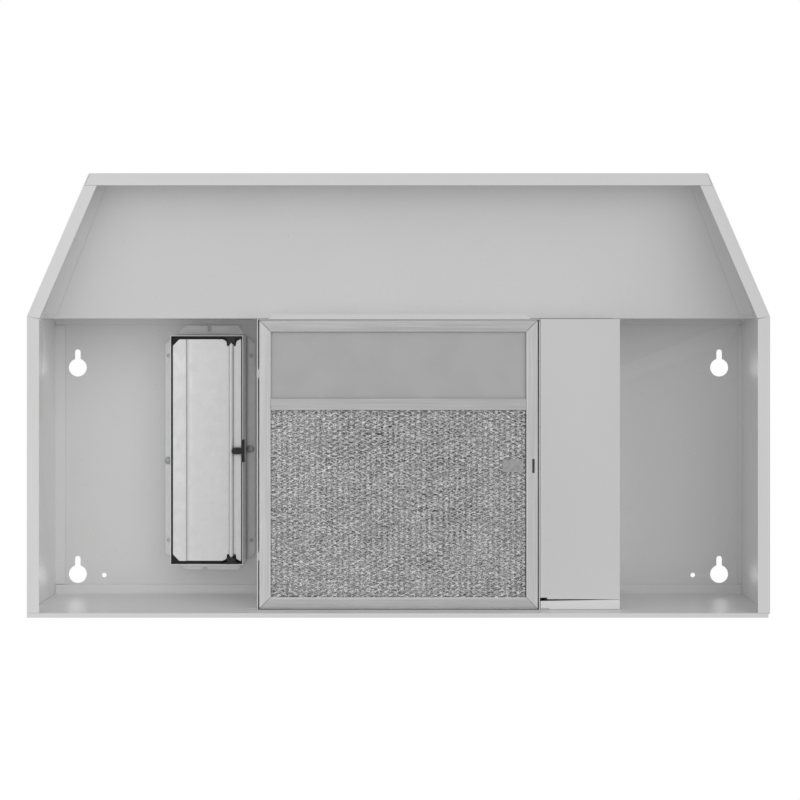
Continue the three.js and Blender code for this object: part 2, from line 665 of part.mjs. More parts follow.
function wireGrommet() {
  const section = [[3, -3], [10, -3], [10, -0.9], [7.9, -0.9], [7.9, 1], [10, 1], [10, 3], [3, 3], [3, -3]];
  return sideways(turned(section, 24), HOUSING_HALF_WIDTH - SHEET / 2, -190, 105);
}

// ---------- duct connector ----------

function ductCollar() {
  const [x0, x1] = COLLAR_X;
  const [y0, y1] = COLLAR_Y;
  const [fx0, fx1] = DUCT_FLANGE_X;
  const [fy0, fy1] = DUCT_FLANGE_Y;
  const flange = raised(
    outline([
      [x0 + 12, fy0],
      [x1 - 9, fy0],
      [x1, y0],
      [fx1, y0 + 9],
      [fx1, y1 - 9],
      [x1, y1],
      [x1 - 9, fy1],
      [x0 + 12, fy1],
      [x0, y1],
      [fx0, y1 - 9],
      [fx0, y0 + 9],
      [x0, y0],
    ]),
    [FLANGE_TOP_Z - DUCT_SHEET, FLANGE_TOP_Z],
  );
  const walls = block(COLLAR_X, COLLAR_Y, [COLLAR_Z, FLANGE_TOP_Z - DUCT_SHEET / 2]);
  const t = DUCT_SHEET;
  const passage = block([x0 + t, x1 - t], [y0 + t, y1 - t], [0, HEIGHT]);
  const through = [FLANGE_TOP_Z - 2, FLANGE_TOP_Z + 1];
  const rivets = [-45.7, 45.7].flatMap((dx) =>
    [-268, -64].map((y) => pin(DUCT_X + dx, y, through, SCREW_HOLE_R, 16)),
  );
  const screws = DUCT_SCREWS.map(([x, y]) => pin(x, y, through, SCREW_HOLE_R, 16));
  const notches = [
    block([-211, -207], [fy0 - 1, fy0 + 4.5], through),
    pin(-209, fy0 + 4.5, through, 2, 16),
    pin(-214, fy1, through, 3, 20),
  ];
  return cut(join(flange, walls), passage, ...rivets, ...screws, ...notches);
}

function damperFlap() {
  const left = -244.6;
  const right = -170.6;
  const ys = [COLLAR_Y[0] + 4.2, COLLAR_Y[1] - 4.2];
  const path = [
    [left, FLAP_AXIS_Z - FLAP_STRIP_DROP[0]],
    [left + FLAP_STRIP, FLAP_AXIS_Z - FLAP_STRIP_DROP[1]],
    [left + FLAP_STRIP + 1, FLAP_AXIS_Z],
    [FLAP_AXIS_X - 2.6, FLAP_AXIS_Z],
    ...arc(FLAP_AXIS_X, FLAP_AXIS_Z, 2.5, 180, 360, 8),
    [FLAP_AXIS_X + 2.6, FLAP_AXIS_Z],
    [right, FLAP_AXIS_Z],
  ];
  const sheet = alongY(sheetSection(path, FLAP_SHEET), ys);
  const chamfer = 7;
  const trims = ys.flatMap((y, i) => {
    const inward = i ? -1 : 1;
    const corner = outline([
      [left - 1, y - inward],
      [left + chamfer, y - inward],
      [left - 1, y + inward * chamfer],
    ]);
    const notchX = [FLAP_AXIS_X - 9, FLAP_AXIS_X + 9];
    const notchY = [y - inward, y + inward * 5.3].sort((a, b) => a - b);
    return [raised(corner, [0, HEIGHT]), block(notchX, notchY, [0, HEIGHT])];
  });
  return cut(sheet, ...trims);
}

function flapShaft() {
  const long = COLLAR_Y[1] - COLLAR_Y[0] - 2 * DUCT_SHEET - 1.6;
  const middle = (COLLAR_Y[0] + COLLAR_Y[1]) / 2;
  return at(pin(0, 0, [-long / 2, long / 2], 1.5, 16).rotate([90, 0, 0]), FLAP_AXIS_X, middle, FLAP_AXIS_Z);
}

// The pivot bushes sit against the collar's end walls; end is -1 at the front and 1 at the rear.
function pivotBush(end) {
  const wallY = end < 0 ? COLLAR_Y[0] + DUCT_SHEET + GAP : COLLAR_Y[1] - DUCT_SHEET - GAP;
  const ys = [wallY, wallY - end * 7].sort((a, b) => a - b);
  const body = join(
    block([FLAP_AXIS_X - 4.5, FLAP_AXIS_X + 4.5], ys, [FLAP_AXIS_Z - 3, FLAP_AXIS_Z + 3.5]),
    block([FLAP_AXIS_X - 7.5, FLAP_AXIS_X + 7.5], [wallY, wallY - end * 2].sort((a, b) => a - b), [
      FLAP_AXIS_Z - 2.5,
      FLAP_AXIS_Z + 8,
    ]),
  );
  const bore = at(pin(0, 0, [-REACH, REACH], 1.9, 16).rotate([90, 0, 0]), FLAP_AXIS_X, 0, FLAP_AXIS_Z);
  return cut(body, bore);
}

function flapSeal() {
  const inset = DUCT_SHEET + GAP;
  const zs = [FLAP_AXIS_Z + 1.2, FLAP_AXIS_Z + 8];
  const [x0] = COLLAR_X;
  const [y0, y1] = COLLAR_Y;
  const right = FLAP_AXIS_X - 10;
  return join(
    block([x0 + inset, x0 + inset + 5], [y0 + inset, y1 - inset], zs),
    block([x0 + inset, right], [y0 + inset, y0 + inset + 6], zs),
    block([x0 + inset, right], [y1 - inset - 6, y1 - inset], zs),
  );
}

// A plastic clip pushed over the collar's right edge stops the flap at its closed place.
function flapStop() {
  const edge = COLLAR_X[1];
  const y = -165;
  const zs = [COLLAR_Z - 3.4, COLLAR_Z - GAP];
  const tongue = new THREE.Shape().absellipse(edge - 6, y, 6.2, 3.7, 0, 2 * Math.PI);
  return join(
    raised(tongue, zs),
    block([edge - 0.6, edge + 1.4], [y - 12, y + 12], zs),
    block([edge + GAP, edge + 1.4], [y - 12, y + 12], [zs[0], COLLAR_Z + 7]),
  );
}

// A pan head screw pointing up, its head's top face at z.
function panScrew(x, y, z, length) {
  const profile = [[0, -2.4], [1.8, -2.4], [3.1, -1.6], [3.6, 0], [1.8, 0], [1.8, length], [0, length]];
  const head = turned(profile, 24);
  const cross = [0, 90].map((deg) => block([-2.2, 2.2], [-0.45, 0.45], [-3, -1.4]).rotate([0, 0, deg]));
  return at(cut(head, ...cross), x, y, z);
}

// ---------- assembly ----------
piece("top_panel", topPanel(), paint);
piece("front_canopy", frontCanopy(), paint);
piece("left_side_panel", sidePanel(-1, 12.5), paint);
piece("right_side_panel", sidePanel(1, 5), paint);
piece("back_panel", backPanel(), paint);

piece("fan_housing", fanHousing(), paint);
piece("lamp_partition", lampPartition(), paint);
piece("fan_shroud", fanShroud(), galvanized);
piece("motor_bracket", motorBracket(), galvanized);
piece("motor_can", motorCan(), steel);
piece("motor_cap", at(ring(10.8, CAN_R, [CAN_Z[1] + GAP, CAN_Z[1] + 1.5]), 0, FAN_Y, 0), steel);
piece("motor_stator", at(ring(20.6, CAN_R - 1.4, [87, 108]), 0, FAN_Y, 0), steel);
piece("motor_rotor", at(ring(SHAFT_R + GAP, 20, [88, 112]), 0, FAN_Y, 0), steel);
piece("motor_shaft", pin(0, FAN_Y, [50.5, 123], SHAFT_R, 24), steel);
piece("upper_bearing", at(ring(SHAFT_R + GAP, 10.4, [114, 121]), 0, FAN_Y, 0), steel);
piece("lower_bearing", at(ring(SHAFT_R + GAP, 10.6, [80, 86]), 0, FAN_Y, 0), steel);
piece("fan_hub", fanHub(), aluminium);
piece("fan_blade", fanBlade(), aluminium);
piece("blade_nut", bladeNut(), steel);
piece("bracket_screw_left", panScrew(0, 0, 0, 3).rotate([180, 0, 0]).translate([-139, FAN_Y, 65.1]), steel);
piece("bracket_screw_right", panScrew(0, 0, 0, 3).rotate([180, 0, 0]).translate([139, FAN_Y, 65.1]), steel);

piece("lamp_reflector", lampReflector(), aluminium);
piece("socket_bracket", socketBracket(), galvanized);
piece("lamp_socket", lampSocket(), { color: 0xe8e4d8, roughness: 0.35 });
piece("bulb_base", bulbBase(), aluminium);
piece("bulb_glass", bulbGlass(), { color: 0xf4f4f0, roughness: 0.25, transparent: true, opacity: 0.9 });

piece("filter_frame", filterFrame(), aluminium);
piece("filter_mesh", filterMesh(), { color: 0xa6a7a8, roughness: 0.4, metalness: 0.8 });
piece("light_lens", lightLens(), { color: 0xadadad, roughness: 0.6, transparent: true, opacity: 0.9 });
piece("filter_divider", filterDivider(), aluminium);
piece("filter_catch", filterCatch(), steel);

piece("wiring_cover", wiringCover(), paint);
piece("wiring_ledge", wiringLedge(), paint);
piece("fan_switch_body", switchBody(SWITCH_X[0]), greyPlastic);
piece("light_switch_body", switchBody(SWITCH_X[1]), greyPlastic);
piece("fan_rocker", rocker(SWITCH_X[0], 0), greyPlastic);
piece("light_rocker", rocker(SWITCH_X[1], -ROCKER_TILT), greyPlastic);
piece("wire_connector_live", wireConnector(168, -120, 60), { color: 0xc46a1c, roughness: 0.5 });
piece("wire_connector_neutral", wireConnector(188, -128, 60), { color: 0xc46a1c, roughness: 0.5 });
piece("wire_grommet", wireGrommet(), blackPlastic);
const motorRoute = [
  [168, -120, 82.8],
  [168, -120.5, 88],
  [170, -135, 98],
  [168, -178, 106],
  [157, -190, 105],
  [140, -190, 105],
  [100, -165, 104],
  [60, -140, 102],
  [CAN_R + 0.8, FAN_Y, 101],
];
const lampRoute = [
  [188, -128, 82.8],
  [188, -128.5, 88],
  [192, -150, 97],
  [190, -220, 96],
  [172, -256, 93],
  [158, LAMP_Y, LAMP_Z],
  [SOCKET_X + 0.4, LAMP_Y, LAMP_Z],
];
piece("motor_lead", wire(motorRoute, 1.8), blackPlastic);
piece("lamp_lead", wire(lampRoute, 1.8), blackPlastic);

piece("duct_collar", ductCollar(), galvanized);
piece("damper_flap", damperFlap(), galvanized);
piece("flap_shaft", flapShaft(), steel);
piece("pivot_bush_front", pivotBush(-1), blackPlastic);
piece("pivot_bush_rear", pivotBush(1), blackPlastic);
piece("flap_seal", flapSeal(), blackPlastic);
piece("flap_stop", flapStop(), blackPlastic);
const screwZ = FLANGE_TOP_Z - DUCT_SHEET - GAP;
piece("duct_screw_left", panScrew(...DUCT_SCREWS[0], screwZ, 2), steel);
piece("duct_screw_right", panScrew(...DUCT_SCREWS[1], screwZ, 2), steel);

export default hood;
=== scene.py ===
"""Visual model of an under cabinet range hood: painted sheet shell, aluminium grease filter with a lamp lens,
fan and lamp inside, wiring box with two rocker switches, and a duct connector with a damper flap.
Lengths are written in millimetres from the hood's rear edge (y) and bottom rim (z), and made into metres."""

import math
import random

import bmesh
import bpy
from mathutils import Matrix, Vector, noise


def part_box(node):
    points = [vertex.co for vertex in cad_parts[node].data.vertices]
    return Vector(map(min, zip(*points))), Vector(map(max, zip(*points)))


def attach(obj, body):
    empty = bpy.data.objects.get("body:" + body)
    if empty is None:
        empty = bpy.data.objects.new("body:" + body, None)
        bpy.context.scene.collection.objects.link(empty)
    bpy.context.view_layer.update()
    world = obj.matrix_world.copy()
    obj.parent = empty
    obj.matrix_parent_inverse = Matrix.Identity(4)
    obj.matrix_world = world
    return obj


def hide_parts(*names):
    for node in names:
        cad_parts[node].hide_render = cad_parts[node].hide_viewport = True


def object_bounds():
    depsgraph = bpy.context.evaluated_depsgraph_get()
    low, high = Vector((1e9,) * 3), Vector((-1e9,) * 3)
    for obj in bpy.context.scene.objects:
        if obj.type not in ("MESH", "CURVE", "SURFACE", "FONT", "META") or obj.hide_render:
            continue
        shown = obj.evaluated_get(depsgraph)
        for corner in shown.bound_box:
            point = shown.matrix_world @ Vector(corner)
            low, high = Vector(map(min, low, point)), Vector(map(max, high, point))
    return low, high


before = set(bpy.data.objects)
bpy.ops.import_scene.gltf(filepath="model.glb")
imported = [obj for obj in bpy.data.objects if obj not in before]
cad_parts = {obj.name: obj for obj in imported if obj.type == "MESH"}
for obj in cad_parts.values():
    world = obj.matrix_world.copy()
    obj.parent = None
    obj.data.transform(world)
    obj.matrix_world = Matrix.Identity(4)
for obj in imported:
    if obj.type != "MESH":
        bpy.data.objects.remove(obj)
cad_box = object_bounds()

# ---------- driving dimensions ----------
MM = 0.001
REAR_Y = cad_box[1].y
RIM_Z = cad_box[0].z

FLOOR_DROP = 2450  # from the rim down to the floor
CAMERA_DROP = 1893  # from the rim down to the lens
CAMERA_Y = -278.6
CAMERA_LENS = 83.1
CAMERA_SHIFT = (0.0019, -0.0675)

SURROUND = 0.47  # strength of the pale surround that lights the object
SUN_TOWARDS = Vector((0.56, -0.42, -1.0))  # from the hood's middle to the light below
SUN_ENERGY = 1.06
SUN_SPREAD = 70  # degrees
FILL_PLACE = Vector((-1.15, -0.35, -1.75))
FILL_ENERGY = 5
OVERHEAD_PLACE = Vector((0, -0.2, 2.7))
OVERHEAD_ENERGY = 20
LIGHT_PANEL = {"shape": "RECTANGLE", "size": 1.7, "size_y": 1.6}
FLOOR_HALF_SIZE = 40.0

MEMBER_WIDTH = 12.0
MEMBER_DEPTH = 9.5
MITRE_GAP = 0.3
MEMBER_STEPS = 16
# These sides get a near-white material: a painted highlight on the member's rounded edges.
HIGHLIGHT_SIDES = (0, 1, 2, 7, 8)  # sides of a member's section, counted from its inner edge
CATCH_SLOT = {"x": 140.2, "y": -154.0, "wide": 2.7, "long": 15.0}
HINGE_TABS_Y = (-250.0, -60.0)
HINGE_TAB_REACH = 2.4

MESH_CELL = (11.6, 5.9)  # long and short way of one diamond
MESH_STRAND = 0.56
MESH_BOND = 0.55
MESH_FOIL = 0.3
MESH_SHEETS = 6
MESH_DRIFT = (0.3, 1.6)  # slow sideways and lengthwise shifts of a sheet
MESH_HEIGHTS = (0.85, 6.0)  # lowest and highest sheet, above the pad's underside
MESH_DRIFT_SEED = 11  # fixes the drift, which would otherwise change from run to run
PATCH_Z = (0.1, 0.2)  # above the pad's underside
FLAT_PATCHES = ((119.0, -154.0, 22.0, 13.0),)  # where the mesh is pressed flat: middle and lengths

FLAP_SHEET = 0.6
FLAP_LEFT_X = -244.6
FLAP_RIGHT_X = -170.6
FLAP_AXIS = (-181.2, 110.0)
FLAP_Y = (-285.8, -45.7)
FLAP_ROWS = 48
FLAP_STRIP = 13.4  # width of the strip along the free edge
FLAP_STRIP_DROP = (0.3, 2.3)  # how far that strip hangs down, at its edge and at its bend
FLAP_BEAD_RADIUS = 2.5
FLAP_BEAD_REACH = 3.6  # from the axis to the flat sheet on each side of the bead
# The low step past the bend, as (from the free edge, up).
FLAP_STEP = ((14.2, -2.3), (14.6, -1.4), (15.2, 0.1), (16.2, 0.33), (18.4, 0.33), (19.2, 0.1), (19.8, 0.0))

PLUG_AT = (-216.5, -300.4)
PLUG_RADIUS = 4.85
PLUG_ARC = (194, 152)  # start and sweep in degrees; only the part clear of the duct connector is made
PLUG_Z = (149.5, 150.2)
LABEL_BOX = (-380.05, -300.0, -200.0, 45.0, 78.0)  # its x, then its ends along the wall and its heights
LABEL_THICKNESS = 0.12

BULB_NECK_RADIUS = 12.6


def spot(x, y, z):
    """A point in metres in the frame, from millimetres off the middle, the rear edge and the rim."""
    return Vector((x * MM, REAR_Y + y * MM, RIM_Z + z * MM))


# ---------- mesh helpers ----------
def smooth_by_angle(mesh, degrees=35):
    for polygon in mesh.polygons:
        polygon.use_smooth = True
    mesh.set_sharp_from_angle(angle=math.radians(degrees))


def add_piece(name, points, faces, material, body="hood", slot=None, smooth=35):
    """Makes a mesh piece from points in metres and rides it on a body."""
    mesh = bpy.data.meshes.new(name)
    mesh.from_pydata([tuple(p) for p in points], [], faces)
    mesh.validate()
    built = bmesh.new()
    built.from_mesh(mesh)
    bmesh.ops.recalc_face_normals(built, faces=built.faces)
    built.to_mesh(mesh)
    built.free()
    smooth_by_angle(mesh, smooth)
    mesh.materials.append(material)
    made = bpy.data.objects.new(name, mesh)
    bpy.context.scene.collection.objects.link(made)
    if body:
        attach(made, body)
    return made


def round_edges(made, width, segments=2, degrees=30):
    bevel = made.modifiers.new("rounded edges", "BEVEL")
    bevel.width = width * MM
    bevel.segments = segments
    bevel.limit_method = "ANGLE"
    bevel.angle_limit = math.radians(degrees)
    bevel.use_clamp_overlap = True
    normals = made.modifiers.new("even shading", "WEIGHTED_NORMAL")
    normals.keep_sharp = True
    return made


def carve(made, *cutters):
    """Cuts the cutters out of a piece and keeps the result as its mesh."""
    for cutter in cutters:
        change = made.modifiers.new("cut", "BOOLEAN")
        change.operation = "DIFFERENCE"
        change.solver = "EXACT"
        change.object = cutter
    graph = bpy.context.evaluated_depsgraph_get()
    old = made.data
    made.data = bpy.data.meshes.new_from_object(made.evaluated_get(graph))
    made.data.name = old.name
    made.modifiers.clear()
    for cutter in cutters:
        bpy.data.objects.remove(cutter)
    smooth_by_angle(made.data)


def loop_faces(count, rings, closed=False):
    """Quads between rings of count points, with caps on the first and last ring unless they close up."""
    faces = []
    for ring in range(rings if closed else rings - 1):
        here = ring * count
        there = (ring + 1) % rings * count
        for i in range(count):
            j = (i + 1) % count
            faces.append((here + i, here + j, there + j, there + i))
    if not closed:
        faces.append(tuple(range(count)))
        faces.append(tuple(range((rings - 1) * count, rings * count)))
    return faces


def prism(outline, low, high):
    """Points and faces of a plan outline in millimetres raised from low to high."""
    points = [spot(x, y, z) for z in (low, high) for x, y in outline]
    return points, loop_faces(len(outline), 2)


def rectangle(x0, x1, y0, y1):
    return [(x0, y0), (x1, y0), (x1, y1), (x0, y1)]


def ellipse(x, y, rx, ry, count=24, start=0.0, sweep=360.0):
    steps = count if sweep == 360.0 else count + 1
    angles = [math.radians(start + sweep * i / count) for i in range(steps)]
    return [(x + rx * math.cos(a), y + ry * math.sin(a)) for a in angles]


def lathe(profile, place, count=48):
    """Points and faces of [radius, height] turned about an axis; place puts a local point in the frame."""
    points = []
    for radius, height in profile:
        for i in range(count):
            angle = 2 * math.pi * i / count
            points.append(place(radius * math.cos(angle), radius * math.sin(angle), height))
    return points, loop_faces(count, len(profile))


def merged(*shapes):
    """Joins several (points, faces) shapes into one."""
    points, faces = [], []
    for shape_points, shape_faces in shapes:
        base = len(points)
        points.extend(shape_points)
        faces.extend(tuple(i + base for i in face) for face in shape_faces)
    return points, faces


# ---------- shader helpers ----------
class Graph:
    """Adds nodes to a tree and joins them."""

    def __init__(self, tree):
        self.tree = tree

    def add(self, kind, values=None, **settings):
        node = self.tree.nodes.new("ShaderNode" + kind)
        for name, value in settings.items():
            setattr(node, name, value)
        for name, value in (values or {}).items():
            self.feed(node.inputs[name], value)
        return node

    def feed(self, target, value):
        if isinstance(value, bpy.types.NodeSocket):
            self.tree.links.new(value, target)
        else:
            target.default_value = value

    def math(self, operation, a, b=0.0, clamp=False):
        return self.add("Math", {0: a, 1: b}, operation=operation, use_clamp=clamp).outputs[0]

    def mix(self, amount, a, b, blend="MIX"):
        node = self.add("Mix", {"Factor": amount}, data_type="RGBA", blend_type=blend)
        self.feed(node.inputs[6], a)
        self.feed(node.inputs[7], b)
        return node.outputs[2]

    def ramp(self, value, low, high, start=0.0, end=1.0):
        settings = {"Value": value, "From Min": low, "From Max": high, "To Min": start, "To Max": end}
        return self.add("MapRange", settings, interpolation_type="SMOOTHSTEP").outputs["Result"]

    def noise(self, scale, place, detail=2.0, rough=0.5, twist=0.0):
        values = {"Vector": place, "Scale": scale, "Detail": detail, "Roughness": rough, "Distortion": twist}
        return self.add("TexNoise", values).outputs["Fac"]

    def stretched(self, stretch):
        """The object's own coordinates in metres, stretched by three factors."""
        here = self.add("TexCoord").outputs["Object"]
        return self.add("Mapping", {"Vector": here, "Scale": stretch}).outputs["Vector"]


def start_effect(name, inputs, outputs):
    """A shader node group with named inputs and outputs: its tree, graph, input and output sockets."""
    tree = bpy.data.node_groups.new(name, "ShaderNodeTree")
    for label, kind, value in inputs:
        socket = tree.interface.new_socket(label, in_out="INPUT", socket_type="NodeSocket" + kind)
        socket.default_value = value
    for label, kind in outputs:
        tree.interface.new_socket(label, in_out="OUTPUT", socket_type="NodeSocket" + kind)
    source = tree.nodes.new("NodeGroupInput")
    result = tree.nodes.new("NodeGroupOutput")
    return tree, Graph(tree), source.outputs, result.inputs


SURFACE = (("Color", "Color"), ("Roughness", "Float"), ("Height", "Float"))


def painted_seam_shade(graph, colour, reach, amount):
    """Darkens a colour in seams and beside steps by ambient occlusion: painted shade."""
    open_sky = graph.add("AmbientOcclusion", {"Distance": reach * MM}, samples=6).outputs["AO"]
    hidden = graph.ramp(open_sky, 0.35, 0.85, 1.0, 0.0)
    return graph.mix(graph.math("MULTIPLY", hidden, amount), colour, (0.05, 0.05, 0.05, 1))


def worn_edges(graph, colour, edge_colour, amount):
    """Brightens or darkens a colour where the surface turns sharply outwards."""
    point = graph.add("NewGeometry").outputs["Pointiness"]
    edge = graph.ramp(point, 0.52, 0.58)
    return graph.mix(graph.math("MULTIPLY", edge, amount), colour, edge_colour)


def paint_effect():
    """Baked enamel on sheet steel: orange peel, slow tone changes, dust specks, painted shade in seams and
    rubbed edges.
    """
    tree, graph, given, result = start_effect(
        "enamel on sheet",
        [
            ("Colour", "Color", (0.6, 0.6, 0.6, 1)),
            ("Shade", "Color", (0.5, 0.5, 0.5, 1)),
            ("Rubbed", "Color", (0.7, 0.7, 0.7, 1)),
            ("Gloss", "Float", 0.4),
            ("Dust", "Float", 0.3),
        ],
        SURFACE,
    )
    place = graph.stretched((1, 1, 1))
    cloud = graph.ramp(graph.noise(5.0, place, 3.0), 0.35, 0.65)
    smudge = graph.ramp(graph.noise(26.0, place, 4.0, 0.6, 0.6), 0.56, 0.78)
    speck = graph.ramp(graph.noise(750.0, place, 1.0), 0.735, 0.78)
    tone = graph.mix(graph.math("MULTIPLY", cloud, 0.6), given["Colour"], given["Shade"])
    tone = graph.mix(graph.math("MULTIPLY", smudge, 0.25), tone, given["Shade"])
    dusty = graph.math("MULTIPLY", speck, given["Dust"])
    tone = graph.mix(dusty, tone, (0.2, 0.19, 0.18, 1))
    # Painted shade: darker in seams and beside steps.
    tone = painted_seam_shade(graph, tone, 3.0, 0.12)
    graph.feed(result["Color"], worn_edges(graph, tone, given["Rubbed"], 0.35))
    rough = graph.math("ADD", given["Gloss"], graph.math("MULTIPLY", smudge, 0.12))
    graph.feed(result["Roughness"], graph.math("ADD", rough, graph.math("MULTIPLY", cloud, 0.05)))
    peel = graph.noise(420.0, place, 2.0, 0.4)
    graph.feed(result["Height"], graph.math("ADD", peel, graph.math("MULTIPLY", speck, 0.8)))
    return tree


def zinc_effect():
    """Galvanized steel: crystal spangle, rolling streaks, dull handling marks, and strong painted shade in
    seams and beside steps.
    """
    tree, graph, given, result = start_effect(
        "galvanized skin",
        [
            ("Bright", "Color", (0.75, 0.76, 0.77, 1)),
            ("Dull", "Color", (0.5, 0.51, 0.52, 1)),
            ("Spangle", "Float", 140.0),
            ("Gloss", "Float", 0.35),
            ("Marks", "Float", 0.5),
        ],
        SURFACE,
    )
    place = graph.stretched((1, 1, 1))
    wobble = graph.add("TexNoise", {"Vector": place, "Scale": 60.0, "Detail": 2.0}).outputs["Color"]
    bent = graph.mix(0.012, place, wobble)
    cells = graph.add("TexVoronoi", {"Vector": bent, "Scale": given["Spangle"]}).outputs["Color"]
    crystal = graph.add("SeparateColor", {"Color": cells}).outputs[0]
    streak = graph.noise(1.0, graph.stretched((700, 14, 700)), 3.0, 0.6)
    marks = graph.ramp(graph.noise(38.0, place, 5.0, 0.65, 1.2), 0.57, 0.72)
    marks = graph.math("MULTIPLY", marks, given["Marks"])
    mixed = graph.math("ADD", graph.math("MULTIPLY", crystal, 0.3), graph.math("MULTIPLY", streak, 0.4))
    tone = graph.mix(mixed, given["Bright"], given["Dull"])
    tone = graph.mix(marks, tone, given["Dull"])
    # Painted shade: much darker in seams, bends and beside steps.
    tone = painted_seam_shade(graph, tone, 5.0, 0.95)
    graph.feed(result["Color"], worn_edges(graph, tone, given["Bright"], 0.4))
    rough = graph.math("ADD", given["Gloss"], graph.math("MULTIPLY", crystal, 0.12))
    graph.feed(result["Roughness"], graph.math("ADD", rough, graph.math("MULTIPLY", marks, 0.2)))
    graph.feed(result["Height"], graph.math("ADD", streak, graph.math("MULTIPLY", crystal, 0.3)))
    return tree


def rolled_effect():
    """Bare rolled or drawn metal: fine lines along one direction, light scuffs and dull patches."""
    tree, graph, given, result = start_effect(
        "rolled metal",
        [
            ("Bright", "Color", (0.8, 0.8, 0.8, 1)),
            ("Dull", "Color", (0.6, 0.6, 0.6, 1)),
            ("Stretch", "Vector", (10, 900, 900)),
            ("Gloss", "Float", 0.3),
            ("Scuffs", "Float", 0.4),
            ("Rubbing", "Float", 0.5),
        ],
        SURFACE,
    )
    here = graph.add("TexCoord").outputs["Object"]
    lined = graph.add("Mapping", {"Vector": here, "Scale": given["Stretch"]}).outputs["Vector"]
    lines = graph.noise(1.0, lined, 4.0, 0.65)
    cloud = graph.ramp(graph.noise(18.0, here, 3.0), 0.35, 0.7)
    scuff = graph.ramp(graph.noise(160.0, here, 4.0, 0.7, 2.0), 0.62, 0.74)
    scuff = graph.math("MULTIPLY", scuff, given["Scuffs"])
    tone = graph.mix(graph.ramp(lines, 0.3, 0.7), given["Bright"], given["Dull"])
    tone = graph.mix(graph.math("MULTIPLY", cloud, 0.35), tone, given["Dull"])
    tone = graph.mix(scuff, tone, given["Dull"])
    graph.feed(result["Color"], worn_edges(graph, tone, given["Bright"], given["Rubbing"]))
    rough = graph.math("ADD", given["Gloss"], graph.math("MULTIPLY", lines, 0.15))
    graph.feed(result["Roughness"], graph.math("ADD", rough, graph.math("MULTIPLY", scuff, 0.25)))
    graph.feed(result["Height"], graph.math("SUBTRACT", lines, scuff))
    return tree


def foil_effect():
    """Thin crumpled foil: small facets painted lighter and darker as painted glints, with matching bumps,
    over slow dull patches.
    """
    tree, graph, given, result = start_effect(
        "crumpled foil",
        [
            ("Bright", "Color", (0.95, 0.95, 0.95, 1)),
            ("Dull", "Color", (0.3, 0.3, 0.3, 1)),
            ("Facets", "Float", 750.0),
            ("Gloss", "Float", 0.3),
        ],
        SURFACE,
    )
    place = graph.stretched((1, 1, 1))
    cells = graph.add("TexVoronoi", {"Vector": place, "Scale": given["Facets"]}).outputs["Color"]
    facet = graph.add("SeparateColor", {"Color": cells}).outputs[0]
    cloud = graph.ramp(graph.noise(40.0, place, 3.0), 0.35, 0.7)
    # Painted glints: each facet gets its own brightness, from dull to bright.
    tone = graph.mix(graph.ramp(facet, 0.15, 0.75), given["Dull"], given["Bright"])
    tone = graph.mix(graph.math("MULTIPLY", cloud, 0.2), tone, given["Dull"])
    graph.feed(result["Color"], tone)
    graph.feed(result["Roughness"], graph.math("ADD", given["Gloss"], graph.math("MULTIPLY", facet, 0.15)))
    graph.feed(result["Height"], facet)
    return tree


def moulded_effect():
    """Moulded plastic, rubber, glazed ceramic or lacquer: fine pitted skin with slow changes and dust."""
    tree, graph, given, result = start_effect(
        "moulded skin",
        [
            ("Colour", "Color", (0.5, 0.5, 0.5, 1)),
            ("Shade", "Color", (0.4, 0.4, 0.4, 1)),
            ("Pitting", "Float", 900.0),
            ("Gloss", "Float", 0.4),
            ("Dust", "Float", 0.2),
        ],
        SURFACE,
    )
    place = graph.stretched((1, 1, 1))
    cloud = graph.ramp(graph.noise(30.0, place, 3.0), 0.35, 0.7)
    dust = graph.ramp(graph.noise(520.0, place, 3.0, 0.7), 0.62, 0.72)
    dust = graph.math("MULTIPLY", dust, given["Dust"])
    tone = graph.mix(cloud, given["Colour"], given["Shade"])
    tone = graph.mix(dust, tone, (0.45, 0.44, 0.42, 1))
    graph.feed(result["Color"], worn_edges(graph, tone, given["Colour"], 0.3))
    graph.feed(result["Roughness"], graph.math("ADD", given["Gloss"], graph.math("MULTIPLY", dust, 0.3)))
    graph.feed(result["Height"], graph.noise(given["Pitting"], place, 2.0))
    return tree


EFFECTS = {
    "paint": paint_effect(),
    "zinc": zinc_effect(),
    "rolled": rolled_effect(),
    "foil": foil_effect(),
    "moulded": moulded_effect(),
}


def grey(value, warm=0.0):
    """A nearly neutral linear colour; warm above 0 leans to yellow."""
    return (value * (1 + warm), value, value * (1 - warm), 1)


def finish(name, effect, settings, constants, bump=0.1, depth=0.02):
    """A material: one surface effect feeding a Principled shader with its own constant values."""
    material = bpy.data.materials.new(name)
    material.use_nodes = True
    graph = Graph(material.node_tree)
    shader = material.node_tree.nodes["Principled BSDF"]
    skin = graph.add("Group", node_tree=EFFECTS[effect])
    for label, value in settings.items():
        skin.inputs[label].default_value = value
    relief = {"Strength": bump, "Distance": depth * MM, "Height": skin.outputs["Height"]}
    normal = graph.add("Bump", relief).outputs["Normal"]
    graph.feed(shader.inputs["Base Color"], skin.outputs["Color"])
    graph.feed(shader.inputs["Roughness"], skin.outputs["Roughness"])
    graph.feed(shader.inputs["Normal"], normal)
    for label, value in constants.items():
        shader.inputs[label].default_value = value
    return material


# ---------- materials ----------
def painted(name, tone, gloss=0.42):
    settings = {
        "Colour": grey(tone),
        "Shade": grey(tone * 0.955, 0.003),
        "Rubbed": grey(min(tone * 1.12, 0.9)),
        "Gloss": gloss,
        "Dust": 0.3,
    }
    constants = {"Metallic": 0.0, "Coat Weight": 0.12, "Coat Roughness": 0.25, "Specular IOR Level": 0.4}
    return finish(name, "paint", settings, constants, 0.25, 0.03)


def zinc(name, bright, dull, gloss=0.35, marks=0.4, metallic=0.85):
    settings = {"Bright": grey(bright), "Dull": grey(dull), "Gloss": gloss, "Marks": marks}
    return finish(name, "zinc", settings, {"Metallic": metallic}, 0.2, 0.02)


